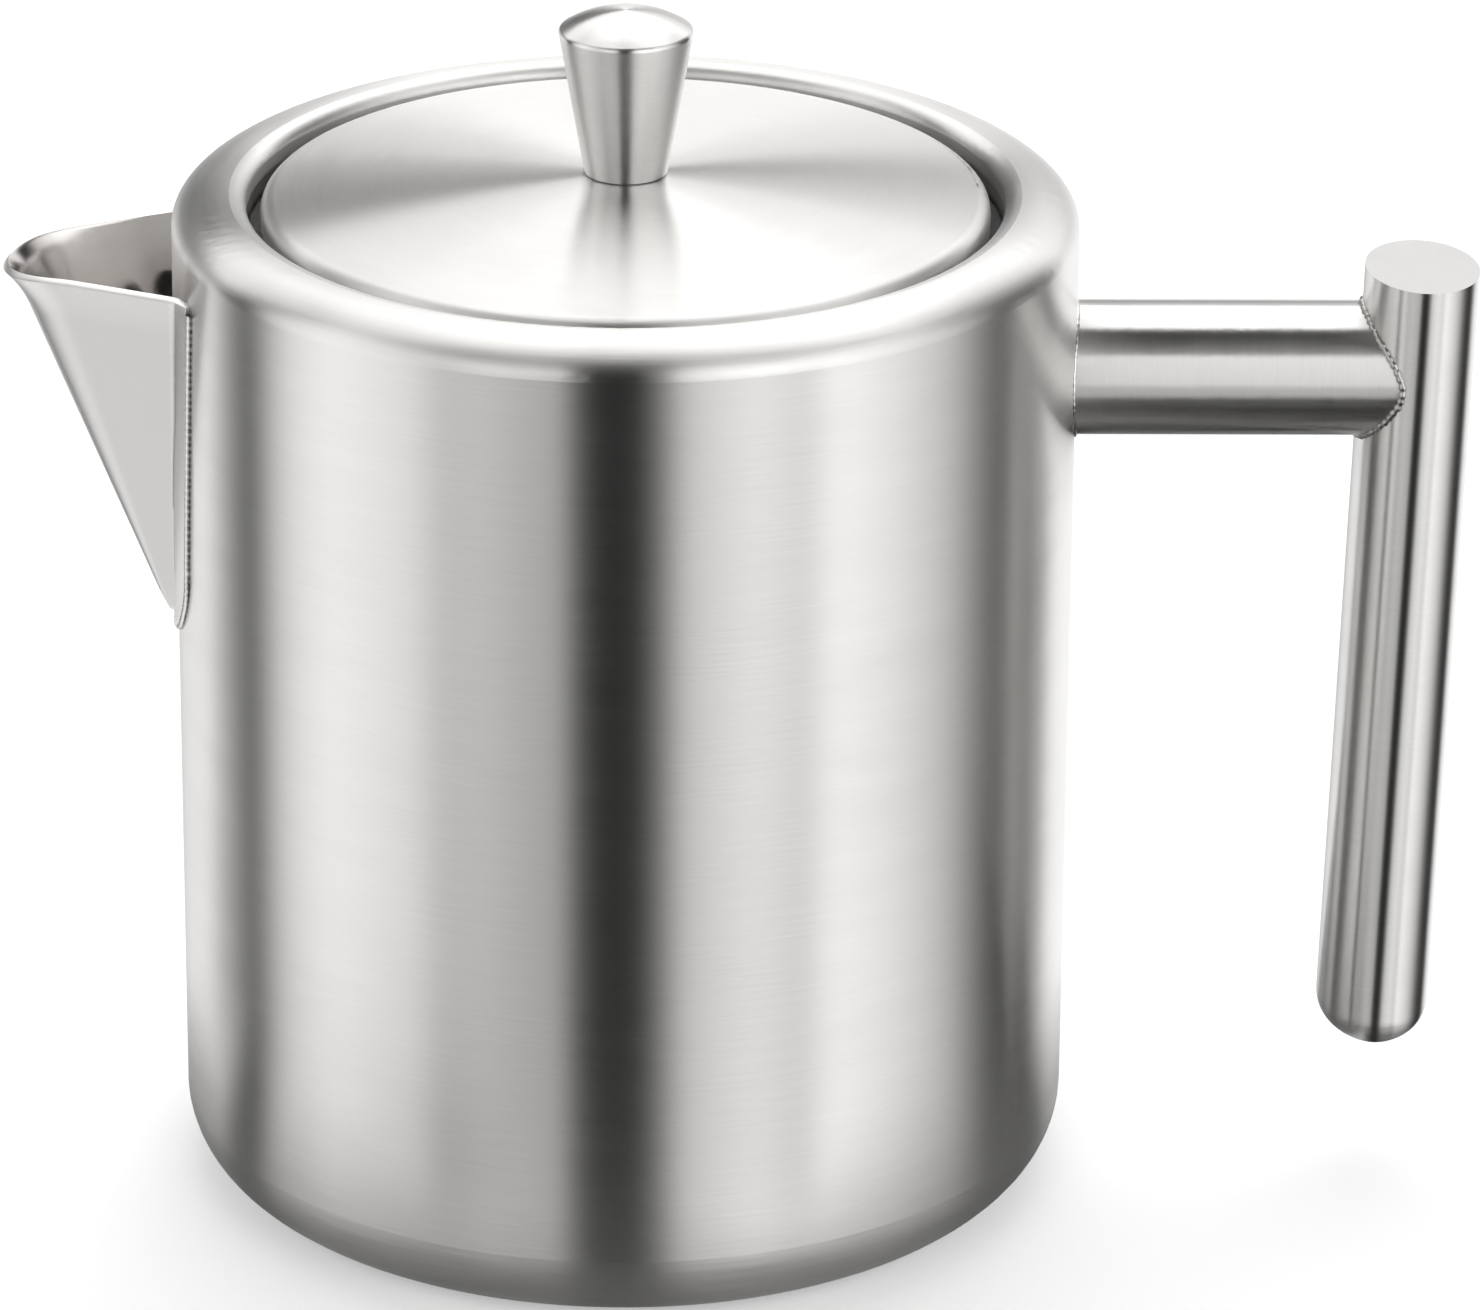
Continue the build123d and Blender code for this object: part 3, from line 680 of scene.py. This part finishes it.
def make_handle_seams():
    """Weld beads where the handle arm meets the pot and the grip."""
    at_pot = [(math.sqrt(BODY_R ** 2 - y * y), y, z) for y, z in arm_ring(POT_SEAM_STEPS)]
    bead = weld_bead("arm_pot_seam", at_pot, POT_SEAM_R, seed=21, ripple=0.10)
    add_piece("arm_pot_seam", bead, "pot", "weld_steel", weld_steel, "arm_body_weld")
    at_grip = [(grip_side(y, z), y, z) for y, z in arm_ring(GRIP_SEAM_STEPS)]
    bead = weld_bead("arm_grip_seam", at_grip, GRIP_SEAM_R, seed=22, ripple=0.18)
    add_piece("arm_grip_seam", bead, "pot", "weld_steel", rough_weld, "arm_grip_weld")


# ------------------------------------------------------------------ filter
SPRING_WIRE_R = 0.2 * MM
SPRING_TURNS = 210
SPRING_STEPS = 14               # points in one turn
SPRING_SIDES = 6
GAUZE_PITCH = 1.2 * MM
GAUZE_WIRE_R = 0.075 * MM
GAUZE_HOLE_R = 3.0 * MM
GAUZE_INSET = 0.1 * MM          # the wires end this far inside the CAD disc
PARALLEL = 0.3                  # a cross product shorter than this comes from nearly parallel directions


def make_filter_spring():
    """Fine wire coiled into a ring round the filter."""
    low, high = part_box("filter_spring")
    middle_z = (low.z + high.z) / 2
    coil_r = (high.z - low.z) / 2 - SPRING_WIRE_R
    ring_r = high.x - coil_r - SPRING_WIRE_R
    centres = []
    steps = SPRING_TURNS * SPRING_STEPS
    for i in range(steps):
        turn = math.tau * i / SPRING_STEPS
        angle = math.tau * i / steps
        radius = ring_r + coil_r * math.cos(turn)
        z = middle_z + coil_r * math.sin(turn)
        centres.append(Vector((radius * math.cos(angle), radius * math.sin(angle), z)))
    rows = []
    for i, centre in enumerate(centres):
        along = (centres[(i + 1) % steps] - centres[i - 1]).normalized()
        angle = math.atan2(centre.y, centre.x)
        outward = Vector((math.cos(angle), math.sin(angle), 0))
        across = along.cross(outward)
        if across.length < PARALLEL:
            across = along.cross(Vector((0, 0, 1)))
        across.normalize()
        rows.append(ring_points(centre, across, along.cross(across), SPRING_WIRE_R, SPRING_SIDES))
    mesh = grid_mesh("filter_coil", rows, closed_across=True, closed_along=True)
    add_piece("filter_coil", mesh, "plunger", "filter_steel", bright_steel, "filter_spring")


def gauze_spans(offset, radius):
    """The stretches of a straight wire inside the disc and outside its middle hole."""
    half = math.sqrt(radius ** 2 - offset ** 2)
    if abs(offset) >= GAUZE_HOLE_R:
        return [(-half, half)]
    inner = math.sqrt(GAUZE_HOLE_R ** 2 - offset ** 2)
    return [(-half, -inner), (inner, half)]


def make_filter_gauze():
    """Round piece of plain-woven wire cloth with a hole in the middle."""
    low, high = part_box("filter_mesh")
    middle_z = (low.z + high.z) / 2
    radius = high.x - GAUZE_INSET
    swing = (high.z - low.z) / 2 - GAUZE_WIRE_R
    points, faces = [], []
    wires = int(radius / GAUZE_PITCH)
    for way in (0, 1):
        for line in range(-wires, wires + 1):
            offset = line * GAUZE_PITCH
            for start, end in gauze_spans(offset, radius):
                steps = max(2, round((end - start) / GAUZE_PITCH * 2))
                base = len(points)
                for i in range(steps + 1):
                    along = start + (end - start) * i / steps
                    side = 1 if (line + way) % 2 else -1
                    z = middle_z + swing * side * math.cos(math.pi * along / GAUZE_PITCH)
                    for across, up in ((-1, 0), (0, -1), (1, 0), (0, 1)):
                        flat = (along, offset + across * GAUZE_WIRE_R)
                        points.append((flat[way], flat[1 - way], z + up * GAUZE_WIRE_R))
                for i in range(steps):
                    for k in range(4):
                        a, b = base + 4 * i + k, base + 4 * i + (k + 1) % 4
                        faces.append((a, b, b + 4, a + 4))
    mesh = bpy.data.meshes.new("filter_gauze")
    mesh.from_pydata(points, [], faces)
    mesh.shade_smooth()
    add_piece("filter_gauze", mesh, "plunger", "mesh_steel", vessel_steel, "filter_mesh")


make_camera()
make_studio()
make_floor()
make_foot_shade()
make_spout()
make_handle_seams()
make_filter_spring()
make_filter_gauze()
for material, names in FINISHES.items():
    for name in names:
        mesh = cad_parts[name].data
        mesh.materials.clear()
        mesh.materials.append(material)

bpy.context.scene.view_settings.view_transform = "Standard"
